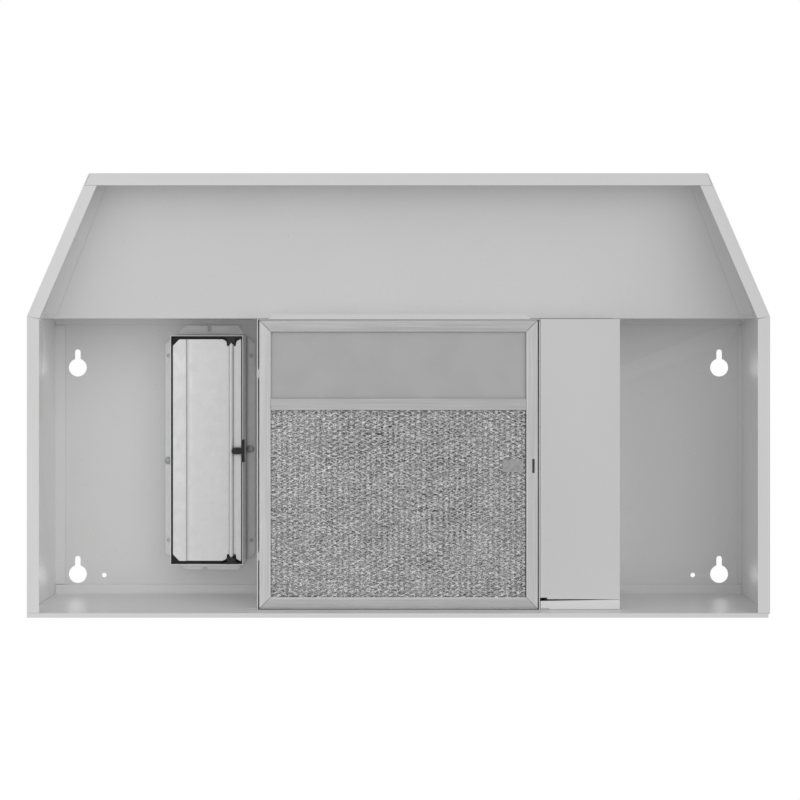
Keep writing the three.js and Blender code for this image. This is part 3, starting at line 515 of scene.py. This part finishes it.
def rolled(name, bright, dull, stretch, gloss=0.3, scuffs=0.3, metallic=0.95, rubbing=0.5):
    settings = {
        "Bright": grey(bright),
        "Dull": grey(dull),
        "Stretch": stretch,
        "Gloss": gloss,
        "Scuffs": scuffs,
        "Rubbing": rubbing,
    }
    return finish(name, "rolled", settings, {"Metallic": metallic}, 0.3, 0.02)


def foil(name, bright, dull, gloss=0.3, metallic=0.7):
    settings = {"Bright": grey(bright), "Dull": grey(dull), "Gloss": gloss}
    return finish(name, "foil", settings, {"Metallic": metallic}, 0.4, 0.1)


def moulded(name, colour, shade, gloss=0.4, dust=0.15, bump=0.15, **constants):
    settings = {"Colour": colour, "Shade": shade, "Gloss": gloss, "Dust": dust}
    values = {"Specular IOR Level": 0.5}
    values.update({label.replace("_", " "): value for label, value in constants.items()})
    return finish(name, "moulded", settings, values, bump, 0.03)


ALONG_X = (12, 900, 900)
ALONG_Y = (900, 12, 900)
EVEN = (300, 300, 300)

enamel = painted("shell enamel", 0.83)
housing_enamel = painted("housing enamel", 0.77)
cover_enamel = painted("cover enamel", 0.73)
zinc_sheet = zinc("galvanized sheet", 0.95, 0.88, 0.45, 0.3, 0.4)
flap_zinc = zinc("damper zinc", 0.88, 0.81, 0.42, 0.3, 0.8)
# One aluminium in two copies: the grain direction differs for real, and the lengthwise copy is made lighter,
# which is painted light on the left and right members.
frame_aluminium_x = rolled("rolled aluminium across", 0.72, 0.57, ALONG_X, 0.4, 0.25, 0.9)
frame_aluminium_y_painted_lighter = rolled("rolled aluminium lengthwise", 0.84, 0.68, ALONG_Y, 0.4, 0.25, 0.9)
# Near-white and barely metallic, so the rounded edges of the filter members look bright from every side: a
# painted highlight.
edge_painted_highlight = rolled("aluminium edge with painted highlight", 1.0, 0.9, EVEN, 0.35, 0.1, 0.35, 0.0)
flat_aluminium = rolled("flat aluminium strip", 0.72, 0.57, ALONG_X, 0.4, 0.25, 0.9, 0.0)
pressed_foil = rolled("pressed foil", 0.6, 0.42, EVEN, 0.35, 0.6, 0.9, 0.0)
mesh_aluminium = foil("mesh aluminium", 1.0, 0.43, 0.3, 0.6)
spun_aluminium = rolled("spun aluminium", 0.72, 0.6, EVEN, 0.32, 0.3)
plated_steel = rolled("plated steel", 0.62, 0.5, EVEN, 0.28, 0.35)
motor_steel = rolled("motor steel", 0.3, 0.22, (40, 40, 900), 0.4, 0.4, 0.9)
motor_iron = rolled("laminated iron", 0.16, 0.09, (60, 60, 2400), 0.45, 0.4, 0.8)
brass = rolled("sintered bronze", 0.5, 0.4, EVEN, 0.4, 0.3)
black_plastic = moulded("black plastic", grey(0.012), grey(0.02), 0.38, 0.12)
black_seal_and_gap_shade = moulded("black foam rubber", grey(0.015), grey(0.028), 0.75, 0.2, 0.5)
lead_sheath = moulded("lead sheath", grey(0.016), grey(0.026), 0.45, 0.2)
switch_plastic = moulded("switch plastic", grey(0.68, 0.015), grey(0.62, 0.02), 0.34, 0.08)
porcelain = moulded("glazed porcelain", grey(0.74, 0.02), grey(0.68, 0.04), 0.16, 0.1, Coat_Weight=0.4)
connector_orange = moulded("connector plastic", (0.62, 0.14, 0.02, 1), (0.5, 0.1, 0.015, 1), 0.36)
lens_frosted = moulded(
    "frosted lens", grey(0.67), grey(0.62), 0.55, 0.05, 0.3, Transmission_Weight=0.25, IOR=1.49
)
plug_plastic = moulded("plug plastic", grey(0.8), grey(0.76), 0.4, 0.05, 0.1)
label_paper = moulded("label paper", grey(0.8, 0.01), grey(0.76, 0.015), 0.5, 0.1, 0.1)
bulb_frosted = moulded("frosted bulb glass", grey(0.86), grey(0.82), 0.22, 0.04, 0.05, Coat_Weight=0.5)

FINISHES = {
    enamel: (
        "top_panel",
        "front_canopy",
        "left_side_panel",
        "right_side_panel",
        "back_panel",
        "wiring_ledge",
    ),
    cover_enamel: ("wiring_cover",),
    housing_enamel: ("fan_housing", "lamp_partition"),
    zinc_sheet: ("fan_shroud", "motor_bracket", "socket_bracket", "duct_collar"),
    spun_aluminium: ("fan_hub", "fan_blade", "lamp_reflector", "bulb_base"),
    motor_steel: ("motor_can", "motor_cap"),
    motor_iron: ("motor_stator", "motor_rotor"),
    plated_steel: (
        "motor_shaft",
        "blade_nut",
        "bracket_screw_left",
        "bracket_screw_right",
        "filter_catch",
        "flap_shaft",
        "duct_screw_left",
        "duct_screw_right",
    ),
    brass: ("upper_bearing", "lower_bearing"),
    flat_aluminium: ("filter_divider",),
    lens_frosted: ("light_lens",),
    porcelain: ("lamp_socket",),
    black_plastic: ("pivot_bush_front", "pivot_bush_rear", "flap_stop", "wire_grommet"),
    # The seal's near-black is partly the real foam seal and partly painted shade in the gap round the flap.
    black_seal_and_gap_shade: ("flap_seal",),
    lead_sheath: ("motor_lead", "lamp_lead"),
    switch_plastic: ("fan_switch_body", "light_switch_body", "fan_rocker", "light_rocker"),
    connector_orange: ("wire_connector_live", "wire_connector_neutral"),
}

EDGE_RADIUS = {
    "wiring_cover": 0.35,
    "filter_divider": 0.3,
    "light_lens": 0.3,
    "fan_rocker": 0.6,
    "light_rocker": 0.6,
    "fan_switch_body": 0.5,
    "light_switch_body": 0.5,
    "flap_stop": 0.6,
    "pivot_bush_front": 0.6,
    "pivot_bush_rear": 0.6,
    "flap_seal": 0.8,
    "lamp_socket": 0.5,
}
SHEET_EDGE_RADIUS = 0.25


def shading_tree():
    """Geometry nodes that join split vertices and shade smooth except across sharp edges."""
    tree = bpy.data.node_groups.new("clean shading", "GeometryNodeTree")
    tree.interface.new_socket("Geometry", in_out="INPUT", socket_type="NodeSocketGeometry")
    tree.interface.new_socket("Geometry", in_out="OUTPUT", socket_type="NodeSocketGeometry")
    start = tree.nodes.new("NodeGroupInput")
    merge = tree.nodes.new("GeometryNodeMergeByDistance")
    merge.inputs["Distance"].default_value = 0.005 * MM
    soft = tree.nodes.new("GeometryNodeSetShadeSmooth")
    hard = tree.nodes.new("GeometryNodeSetShadeSmooth")
    hard.domain = "EDGE"
    hard.inputs["Shade Smooth"].default_value = False
    angle = tree.nodes.new("GeometryNodeInputMeshEdgeAngle")
    over = tree.nodes.new("FunctionNodeCompare")
    over.operation = "GREATER_THAN"
    over.inputs["B"].default_value = math.radians(32)
    end = tree.nodes.new("NodeGroupOutput")
    tree.links.new(start.outputs[0], merge.inputs["Geometry"])
    tree.links.new(merge.outputs[0], soft.inputs["Geometry"])
    tree.links.new(soft.outputs[0], hard.inputs["Geometry"])
    tree.links.new(angle.outputs["Unsigned Angle"], over.inputs["A"])
    tree.links.new(over.outputs[0], hard.inputs["Selection"])
    tree.links.new(hard.outputs[0], end.inputs[0])
    return tree


def dress_nodes():
    """Gives every carried-over node its finish, clean shading and small rounded edges."""
    shading = shading_tree()
    for material, names in FINISHES.items():
        for name in names:
            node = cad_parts[name]
            for place in node.material_slots:
                place.material = material
            clean = node.modifiers.new("clean shading", "NODES")
            clean.node_group = shading
            flat = node.modifiers.new("whole faces", "DECIMATE")
            flat.decimate_type = "DISSOLVE"
            flat.angle_limit = math.radians(0.6)
            round_edges(node, EDGE_RADIUS.get(name, SHEET_EDGE_RADIUS))


# ---------- filter ----------
def member_section():
    """A rolled channel: (inwards from the outer edge, up from the lower face)."""
    return [
        (MEMBER_WIDTH, 0.95), (MEMBER_WIDTH, 0.55), (11.75, 0.2), (11.3, 0.05), (8.5, 0.0), (4.5, 0.0),
        (1.5, 0.08), (0.75, 0.3), (0.25, 0.8), (0.0, 1.6),
        (0.0, 7.8), (0.2, 8.6), (0.75, 9.25), (1.5, MEMBER_DEPTH), (MEMBER_WIDTH, MEMBER_DEPTH),
        (MEMBER_WIDTH, 8.8), (1.9, 8.8), (1.0, 8.3), (0.7, 7.4), (0.7, 2.1), (1.1, 1.1), (2.0, 0.75),
        (11.2, 0.75), (11.3, 0.95),
    ]  # fmt: skip


def member(side, half, front, rear, low):
    """One mitred member along a side of the filter: its points and faces."""
    section = member_section()
    steps = MEMBER_STEPS
    points = []
    lengthwise = side in ("left", "right")
    for step in range(steps + 1):
        share = step / steps
        for inward, up in section:
            wave = 0.06 * noise.noise(Vector((share * 9, inward * 0.05, len(side) * 3.1)))
            reach = inward + MITRE_GAP
            if lengthwise:
                sign = -1 if side == "left" else 1
                x = sign * (half - inward)
                y = (front + reach) * (1 - share) + (rear - reach) * share
            else:
                x = (-half + reach) * (1 - share) + (half - reach) * share
                y = front + inward if side == "front" else rear - inward
            points.append(spot(x, y, low + up + (wave + 0.06) * (0.3 < up < 9)))
    return points, loop_faces(len(section), steps + 1)


def paint_edge_highlight(mesh, count):
    """Gives the rolled outer edge and the folded inner edge of a member a near-white material: a painted
    highlight.
    """
    mesh.materials.append(edge_painted_highlight)
    for index, polygon in enumerate(mesh.polygons):
        if index % count in HIGHLIGHT_SIDES and index < count * MEMBER_STEPS:
            polygon.material_index = 1


def slot_outline(x, y, wide, long):
    half = wide / 2
    top = ellipse(x, y + long / 2 - half, half, half, 8, 0, 180)
    bottom = ellipse(x, y - long / 2 + half, half, half, 8, 180, 180)
    return top + bottom


def make_filter_frame():
    low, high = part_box("filter_frame")
    edge = high.x / MM
    front = (low.y - REAR_Y) / MM
    rear = (high.y - REAR_Y) / MM
    base = (low.z - RIM_Z) / MM
    made = {}
    for side in ("front", "rear", "left", "right"):
        material = frame_aluminium_y_painted_lighter if side in ("left", "right") else frame_aluminium_x
        shape = member(side, edge, front, rear, base)
        if side == "left":
            tabs = [
                prism(rectangle(-edge - HINGE_TAB_REACH, -edge + 0.5, y - 4, y + 4), base + 1.6, base + 2.6)
                for y in HINGE_TABS_Y
            ]
            shape = merged(shape, *tabs)
        made[side] = add_piece(f"filter_member_{side}", *shape, material, "filter", "filter_aluminium")
        paint_edge_highlight(made[side].data, len(member_section()))
    slot = CATCH_SLOT
    cutter = add_piece(
        "slot_cutter",
        *prism(slot_outline(slot["x"], slot["y"], slot["wide"], slot["long"]), base - 3, base + 15),
        plated_steel,
        None,
    )
    carve(made["right"], cutter)
    for piece in made.values():
        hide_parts("filter_frame")


def mesh_layer(x_span, y_span, z, seed):
    """One sheet of expanded aluminium: rows of slit strands, pulled apart and joined at flat bonds."""
    chance = random.Random(seed)
    cell_x, cell_y = MESH_CELL
    points, faces = [], []
    bonds = int((x_span[1] - x_span[0] - 2 * MESH_BOND) / (cell_x / 2))
    rows = int((y_span[1] - y_span[0] - MESH_STRAND) / (cell_y / 2))
    slip = (chance.uniform(-0.4, 0.4), chance.uniform(-0.5, 0.5) * cell_y)
    for row in range(rows):
        middle = y_span[0] + MESH_STRAND + (row + 0.5) * cell_y / 2
        row_nudge = chance.uniform(-0.6, 0.6)
        base = len(points)
        rings = 0
        for bond in range(bonds + 1):
            swing = 1 if (row + bond) % 2 else -1
            lift = chance.uniform(-0.15, 0.15)
            sway = chance.uniform(-0.4, 0.4)
            nudge = row_nudge + chance.uniform(-0.8, 0.8)
            for end in (-1, 1, 2):
                if end == 2 and bond == bonds:
                    break
                reach = swing if end < 2 else 0
                half = MESH_STRAND * (chance.uniform(0.8, 1.2) if end < 2 else chance.uniform(0.3, 0.5))
                turn = chance.uniform(-0.12, 0.12) if end < 2 else chance.uniform(-0.3, 0.3)
                x = x_span[0] + MESH_BOND + bond * cell_x / 2 + (end * MESH_BOND if end < 2 else cell_x / 4)
                shift = noise.noise_vector(Vector((x * 0.016, middle * 0.02, seed)))
                wave = 0.3 * noise.noise(Vector((x * 0.03, middle * 0.03, seed + 7)))
                px = x + shift.x * MESH_DRIFT[0] + slip[0] + sway
                py = middle + reach * (cell_y / 4 - MESH_STRAND * 0.5) + nudge
                py += shift.y * MESH_DRIFT[1] + slip[1]
                px = min(max(px, x_span[0]), x_span[1])
                py = min(max(py, y_span[0] + half), y_span[1] - half)
                pz = z + reach * 0.2 + wave + lift
                points.append(spot(px, py - half, pz - turn))
                points.append(spot(px, py + half, pz + turn))
                points.append(spot(px, py, pz + MESH_FOIL))
                rings += 1
        for step in range(rings - 1):
            a = base + step * 3
            b = a + 3
            faces.append((a, a + 1, b + 1, b))
            faces.append((a + 1, a + 2, b + 2, b + 1))
            faces.append((a + 2, a, b, b + 2))
        end = base + (rings - 1) * 3
        faces.append((base, base + 2, base + 1))
        faces.append((end, end + 1, end + 2))
    return points, faces


def make_filter_mesh():
    low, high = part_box("filter_mesh")
    xs = (low.x / MM + 0.6, high.x / MM - 0.6)
    ys = ((low.y - REAR_Y) / MM + 0.6, (high.y - REAR_Y) / MM - 0.6)
    base = (low.z - RIM_Z) / MM
    lowest, highest = MESH_HEIGHTS
    noise.seed_set(MESH_DRIFT_SEED)
    for index in range(MESH_SHEETS):
        height = lowest + (highest - lowest) * index / (MESH_SHEETS - 1)
        shape = mesh_layer(xs, ys, base + height, 5 + 13 * index)
        name = f"filter_mesh_sheet_{index + 1}"
        made = add_piece(name, *shape, mesh_aluminium, "filter", "mesh_aluminium", 50)
        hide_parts("filter_mesh")
    for x, y, long_x, long_y in FLAT_PATCHES:
        outline = rectangle(x - long_x / 2, x + long_x / 2, y - long_y / 2, y + long_y / 2)
        patch = prism(outline, base + PATCH_Z[0], base + PATCH_Z[1])
        made = add_piece("filter_mesh_patch", *patch, pressed_foil, "filter", "mesh_aluminium")
        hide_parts("filter_mesh")


# ---------- duct connector ----------
def flap_section():
    """The flap's lower face from left to right as (x, z): a hanging strip, a low step and a rounded bead."""
    axis_x, z = FLAP_AXIS
    bead = [
        (axis_x + FLAP_BEAD_RADIUS * math.cos(a), z + FLAP_BEAD_RADIUS * math.sin(a))
        for a in (math.radians(180 + 180 * i / 10) for i in range(11))
    ]
    edge, bend_drop = FLAP_STRIP_DROP
    left = [(FLAP_LEFT_X + FLAP_STRIP * i / 4, z - edge - (bend_drop - edge) * i / 4) for i in range(5)]
    bend = [(FLAP_LEFT_X + x, z + up) for x, up in FLAP_STEP]
    middle_start = FLAP_LEFT_X + FLAP_STEP[-1][0]
    reach = FLAP_BEAD_REACH
    middle = [(middle_start + (axis_x - reach - middle_start) * i / 12, z) for i in range(1, 13)]
    right = [(axis_x + reach + (FLAP_RIGHT_X - axis_x - reach) * i / 3, z) for i in range(4)]
    return left + bend + middle + bead + right


def bush_notch():
    """Half the cut for a pivot bush with its mirror image: off the axis and in from the flap's end."""
    half = [(9.0, -2.0), (9.0, 0.3), (6.4, 1.4), (5.2, 3.0), (4.8, 7.2), (2.6, 7.2), (2.0, 5.4)]
    return [(-across, along) for across, along in reversed(half)] + half


def make_flap():
    path = flap_section()
    y0, y1 = FLAP_Y
    steps = FLAP_ROWS
    count = len(path)
    lower, upper = [], []
    for step in range(steps + 1):
        y = y0 + (y1 - y0) * step / steps
        for x, z in path:
            dent = 0.16 * noise.noise(Vector((x * 0.035, y * 0.02, 4.2)))
            dent += 0.05 * noise.noise(Vector((x * 0.12, y * 0.09, 9.1)))
            lower.append(spot(x, y, z + dent))
            upper.append(spot(x, y, z + dent + FLAP_SHEET))
    points = lower + upper
    shift = len(lower)
    faces = []
    for step in range(steps):
        for i in range(count - 1):
            a = step * count + i
            faces.append((a, a + 1, a + count + 1, a + count))
            faces.append((a + shift, a + count + shift, a + count + 1 + shift, a + 1 + shift))
    for step in range(steps):
        for i in (0, count - 1):
            a = step * count + i
            faces.append((a, a + count, a + count + shift, a + shift))
    for step in (0, steps):
        for i in range(count - 1):
            a = step * count + i
            faces.append((a, a + 1, a + 1 + shift, a + shift))
    made = add_piece("damper_flap_sheet", points, faces, flap_zinc, "flap", "galvanized_steel", 30)
    axis_x, z = FLAP_AXIS
    cutters = []
    for y, inward in ((y0, 1), (y1, -1)):
        corner = [(FLAP_LEFT_X - 2, y - 2 * inward), (FLAP_LEFT_X + 7, y - 2 * inward)]
        corner += [(FLAP_LEFT_X + 7, y), (FLAP_LEFT_X, y + 7 * inward), (FLAP_LEFT_X - 2, y + 7 * inward)]
        notch = [(axis_x + across, y + along * inward) for across, along in bush_notch()]
        for outline in (corner, notch):
            cutters.append(add_piece("flap_cutter", *prism(outline, z - 8, z + 8), plated_steel, None))
    carve(made, *cutters)
    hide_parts("damper_flap")


def make_screw(name, node):
    """A pan head screw seen from its cross recess, with a plain shank."""
    low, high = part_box(node)
    x = (low.x + high.x) / 2 / MM
    y = ((low.y + high.y) / 2 - REAR_Y) / MM
    base = (low.z - RIM_Z) / MM
    top = (high.z - RIM_Z) / MM
    head = (high.x - low.x) / 2 / MM
    profile = [(0.01, 0.0), (head * 0.45, 0.05), (head * 0.75, 0.35), (head * 0.95, 0.9)]
    profile += [(head, 1.5), (head, 1.9), (1.6, 1.9), (1.6, top - base - 1.2), (0.3, top - base)]

    def place(a, b, height):
        return spot(x + a, y + b, base + height)

    made = add_piece(name, *lathe(profile, place, 40), plated_steel, "hood", "plated_steel")
    for long_x, long_y in ((head * 0.62, 0.42), (0.42, head * 0.62)):
        cross = rectangle(x - long_x, x + long_x, y - long_y, y + long_y)
        carve(made, add_piece("recess_cutter", *prism(cross, base - 1, base + 1.1), plated_steel, None))
    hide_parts(node)


def make_plug_and_label():
    """The hole plug at the duct connector's front edge and the blank label on the left wall."""
    plug = prism(ellipse(*PLUG_AT, PLUG_RADIUS, PLUG_RADIUS, 32, *PLUG_ARC), *PLUG_Z)
    round_edges(add_piece("hole_plug", *plug, plug_plastic, "hood", "white_paint"), 0.2)
    x, y0, y1, z0, z1 = LABEL_BOX
    label = prism(rectangle(x, x + LABEL_THICKNESS, y0, y1), z0, z1)
    add_piece("blank_label", *label, label_paper, "hood", "white_paint")


# ---------- lamp ----------
def make_bulb():
    low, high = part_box("bulb_glass")
    axis_y = (low.y + high.y) / 2
    axis_z = (low.z + high.z) / 2
    neck_x = high.x
    reach = (high.x - low.x) / MM
    radius = (high.z - low.z) / 2 / MM * 0.995
    centre = reach - radius
    neck = BULB_NECK_RADIUS
    profile = [(0.0, 0.0), (12.0, 0.0), (neck, 0.8)]
    for i in range(1, 9):
        share = i / 9
        blend = share * share * (3 - 2 * share)
        profile.append((neck + (radius * 0.93 - neck) * blend, 1 + (centre - 11) * share))
    for i in range(1, 19):
        angle = math.radians(-22 + 112 * i / 18)
        profile.append((radius * math.cos(angle) if i < 18 else 0.01, centre + radius * math.sin(angle)))

    def place(a, b, height):
        return Vector((neck_x - height * MM, axis_y + a * MM, axis_z + b * MM))

    made = add_piece("bulb_envelope", *lathe(profile, place, 56), bulb_frosted, "hood", "bulb_glass", 60)
    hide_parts("bulb_glass")


# ---------- studio ----------
def make_floor():
    material = bpy.data.materials.new("studio floor")
    material.use_nodes = True
    graph = Graph(material.node_tree)
    shader = material.node_tree.nodes["Principled BSDF"]
    cloud = graph.noise(1.2, graph.stretched((1, 1, 1)), 3.0)
    graph.feed(shader.inputs["Base Color"], graph.mix(cloud, grey(0.80), grey(0.76)))
    shader.inputs["Roughness"].default_value = 0.8
    size = FLOOR_HALF_SIZE
    height = RIM_Z - FLOOR_DROP * MM
    corners = [(-size, -size, height), (size, -size, height), (size, size, height), (-size, size, height)]
    made = add_piece("studio_floor", corners, [(0, 1, 2, 3)], material, None)
    made.visible_shadow = False


def make_world():
    """White behind the object; a soft pale surround lights it."""
    world = bpy.data.worlds.new("studio")
    world.use_nodes = True
    tree = world.node_tree
    tree.nodes.clear()
    graph = Graph(tree)
    seen = graph.add("Background", {"Color": (1, 1, 1, 1), "Strength": 1.0}).outputs[0]
    lit = graph.add("Background", {"Color": (1, 1, 1, 1), "Strength": SURROUND}).outputs[0]
    camera = graph.add("LightPath").outputs["Is Camera Ray"]
    both = graph.add("MixShader", {0: camera, 1: lit, 2: seen}).outputs[0]
    out = graph.add("OutputWorld")
    tree.links.new(both, out.inputs["Surface"])
    bpy.context.scene.world = world
    bpy.context.scene.view_settings.view_transform = "Standard"


def add_light(name, kind, place, target, **settings):
    data = bpy.data.lights.new(name, kind)
    for label, value in settings.items():
        setattr(data, label, value)
    made = bpy.data.objects.new(name, data)
    bpy.context.scene.collection.objects.link(made)
    made.location = place
    made.rotation_euler = (target - place).to_track_quat("-Z", "Y").to_euler()
    made.visible_camera = False


def make_lights():
    middle = (cad_box[0] + cad_box[1]) / 2
    below = middle + SUN_TOWARDS * 3
    add_light("skylight_below", "SUN", below, middle, energy=SUN_ENERGY, angle=math.radians(SUN_SPREAD))
    add_light("fill_left", "AREA", FILL_PLACE, middle, energy=FILL_ENERGY, **LIGHT_PANEL)
    add_light("over", "AREA", OVERHEAD_PLACE, middle, energy=OVERHEAD_ENERGY, **LIGHT_PANEL)


def make_camera():
    data = bpy.data.cameras.new("view from below")
    data.lens = CAMERA_LENS
    data.sensor_width = 36.0
    data.shift_x, data.shift_y = CAMERA_SHIFT
    data.clip_end = 200.0
    made = bpy.data.objects.new("view_from_below", data)
    bpy.context.scene.collection.objects.link(made)
    made.location = spot(0, CAMERA_Y, -CAMERA_DROP)
    made.rotation_euler = (math.pi, 0, 0)
    bpy.context.scene.camera = made


make_camera()
make_world()
make_lights()
make_floor()
dress_nodes()
make_filter_frame()
make_filter_mesh()
make_flap()
make_bulb()
make_screw("duct_screw_left_head", "duct_screw_left")
make_screw("duct_screw_right_head", "duct_screw_right")
make_plug_and_label()
